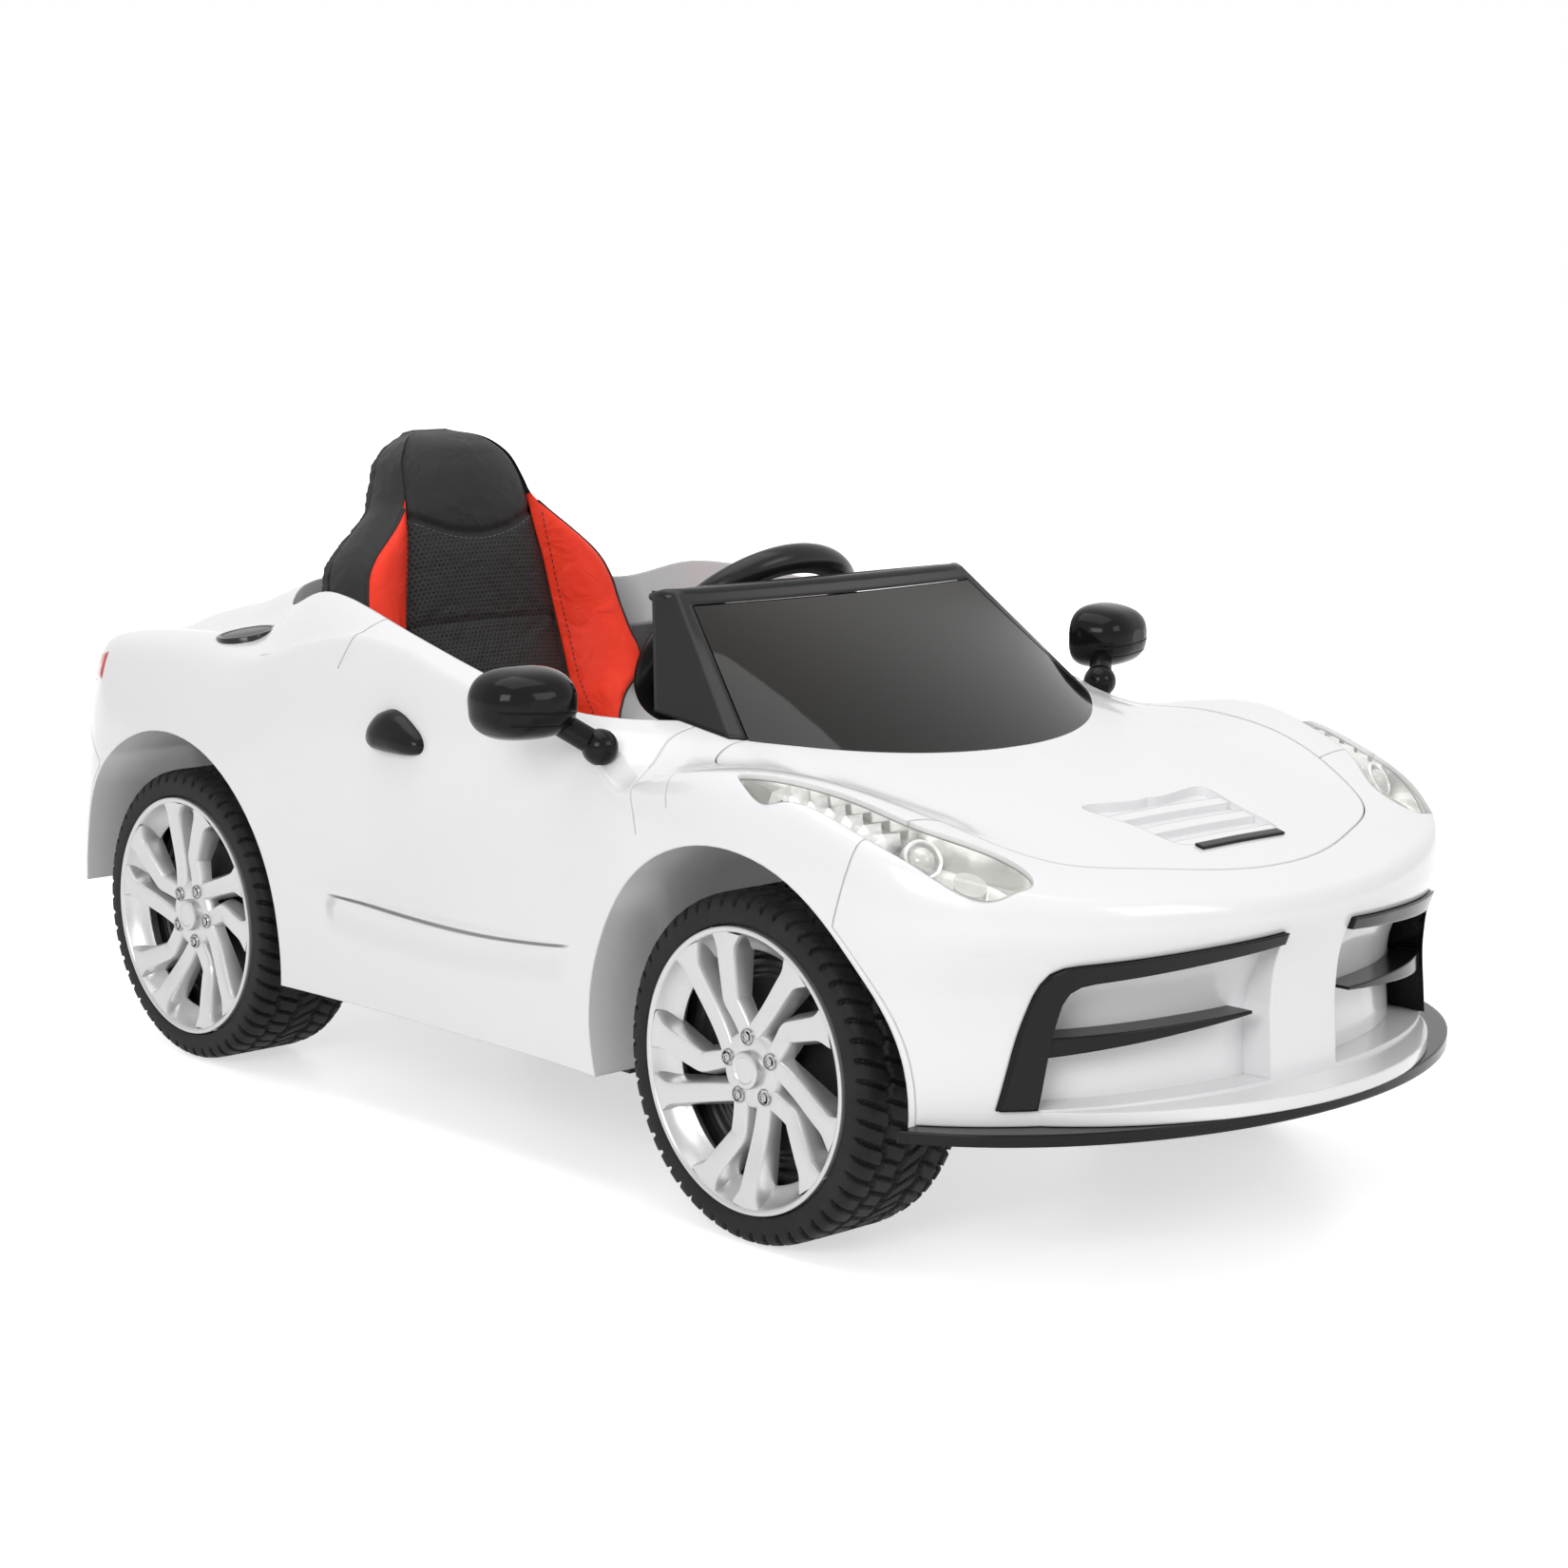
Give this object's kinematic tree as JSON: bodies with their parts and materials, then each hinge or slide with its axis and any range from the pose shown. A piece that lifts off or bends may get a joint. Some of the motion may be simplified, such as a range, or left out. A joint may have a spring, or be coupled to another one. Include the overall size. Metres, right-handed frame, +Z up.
{
  "type": "electric ride-on car",
  "caption": "White battery ride-on sports car for a small child, with steered front wheels, driven rear wheels, smoked screen, side mirrors and a red and black bucket seat.",
  "frame": {"origin": "on the ground under the middle of the car's length and width", "axes": "+X forward, +Y to the driver's left, +Z up"},
  "size_m": [1.2306, 0.6688, 0.5133],
  "materials": {
    "body_white": "gloss",
    "black_gloss": "gloss",
    "dark_satin": "satin",
    "smoked_panel": "gloss",
    "clear_lens": "clear",
    "reflector": "polished",
    "lamp_white": "gloss",
    "lamp_red": "gloss",
    "cap_grey": "satin",
    "mirror": "polished",
    "seat_black": "grained",
    "seat_red": "grained",
    "moulded_black": "matte",
    "button_red": "gloss",
    "button_grey": "gloss",
    "steel": "zinc plated",
    "tyre_black": "matte",
    "rim_silver": "silver paint"
  },
  "bodies": {
    "car": {"body_shell": "body_white", "hood": "body_white", "front_bumper": "body_white", "rear_bumper": "body_white", "grille_trims": "black_gloss", "front_splitter": "black_gloss", "side_handles": "black_gloss", "mirror_housings": "black_gloss", "windscreen_frame": "dark_satin", "dashboard": "dark_satin", "hood_trim_bar": "dark_satin", "windscreen_panel": "smoked_panel", "headlamp_lenses": "clear_lens", "headlamp_bowls": "reflector", "headlamp_leds": "lamp_white", "tail_lamps": "lamp_red", "fuel_cap": "cap_grey", "mirror_glasses": "mirror", "seat_back_pad": "seat_black", "seat_base_pad": "seat_black", "seat_bolsters": "seat_red", "seat_shell": "moulded_black", "floor_pan": "moulded_black", "pedal_bracket": "moulded_black", "charge_socket": "moulded_black", "battery": "moulded_black", "battery_strap": "moulded_black", "control_box": "moulded_black", "wiring_harness": "moulded_black", "gearboxes": "moulded_black", "front_axle_beam": "steel", "rear_axle": "steel", "axle_bushes": "steel", "rear_nuts": "steel", "motors": "steel"},
    "steering": {"steering_wheel": "dark_satin", "steering_column": "steel"},
    "horn": {"horn_button": "button_grey"},
    "music": {"music_button": "button_grey"},
    "knuckle_left": {"knuckle_left": "steel", "front_nut_left": "steel"},
    "knuckle_right": {"knuckle_right": "steel", "front_nut_right": "steel"},
    "tie_rod": {"tie_rod": "steel"},
    "wheel_front_left": {"tyre_front_left": "tyre_black", "hubcap_front_left": "rim_silver"},
    "wheel_front_right": {"tyre_front_right": "tyre_black", "hubcap_front_right": "rim_silver"},
    "wheel_rear_left": {"tyre_rear_left": "tyre_black", "hubcap_rear_left": "rim_silver"},
    "wheel_rear_right": {"tyre_rear_right": "tyre_black", "hubcap_rear_right": "rim_silver"},
    "pedal": {"pedal": "moulded_black"},
    "power": {"power_button": "button_red"},
    "direction": {"direction_rocker": "button_grey"}
  },
  "joints": [
    {"name": "knuckle_right_turn", "type": "hinge", "parent": "car", "child": "knuckle_right", "pos_m": [0.3175, -0.146, 0.12], "axis": [0, 0, 1], "range_deg": [-19.5, 19.5]},
    {"name": "knuckle_left_turn", "type": "hinge", "parent": "car", "child": "knuckle_left", "pos_m": [0.3175, 0.146, 0.12], "axis": [0, 0, 1], "range_deg": [-19.5, 19.5]},
    {"name": "tie_rod_swing", "type": "hinge", "parent": "knuckle_right", "child": "tie_rod", "pos_m": [0.2575, -0.146, 0.0766], "axis": [0, 0, 1], "range_deg": [-19.5, 19.5]},
    {"name": "steering_turn", "type": "hinge", "parent": "car", "child": "steering", "pos_m": [0.0315, 0, 0.366], "axis": [-0.7431, 0, 0.6691], "range_deg": [-30.01, 30.01]},
    {"name": "horn_press", "type": "slide", "parent": "steering", "child": "horn", "axis": [0.7431, 0, -0.6691], "range_m": [0, 0.002], "stiffness_N_per_m": 600},
    {"name": "music_press", "type": "slide", "parent": "steering", "child": "music", "axis": [0.7431, 0, -0.6691], "range_m": [0, 0.002], "stiffness_N_per_m": 600},
    {"name": "wheel_front_left_spin", "type": "hinge", "parent": "knuckle_left", "child": "wheel_front_left", "pos_m": [0.3175, 0.211, 0.12], "axis": [0, 1, 0], "continuous": true},
    {"name": "wheel_front_right_spin", "type": "hinge", "parent": "knuckle_right", "child": "wheel_front_right", "pos_m": [0.3175, -0.211, 0.12], "axis": [0, 1, 0], "continuous": true},
    {"name": "wheel_rear_left_spin", "type": "hinge", "parent": "car", "child": "wheel_rear_left", "pos_m": [-0.3725, 0.211, 0.12], "axis": [0, 1, 0], "continuous": true},
    {"name": "wheel_rear_right_spin", "type": "hinge", "parent": "car", "child": "wheel_rear_right", "pos_m": [-0.3725, -0.211, 0.12], "axis": [0, 1, 0], "continuous": true},
    {"name": "pedal_press", "type": "hinge", "parent": "car", "child": "pedal", "pos_m": [0.2345, -0.075, 0.102], "axis": [0, 1, 0], "range_deg": [0, 12], "stiffness_Nm_per_rad": 1.5, "springref_deg": -11.46},
    {"name": "power_press", "type": "slide", "parent": "car", "child": "power", "axis": [1, 0, 0], "range_m": [0, 0.003], "stiffness_N_per_m": 600},
    {"name": "direction_rock", "type": "hinge", "parent": "car", "child": "direction", "pos_m": [0.1465, -0.118, 0.288], "axis": [0, 1, 0], "range_deg": [-8, 8]}
  ],
  "couplings": [
    {"joint": "knuckle_left_turn", "follows": "knuckle_right_turn", "ratio": 1},
    {"joint": "tie_rod_swing", "follows": "knuckle_right_turn", "ratio": -1},
    {"joint": "steering_turn", "follows": "knuckle_right_turn", "ratio": 1.5385}
  ]
}
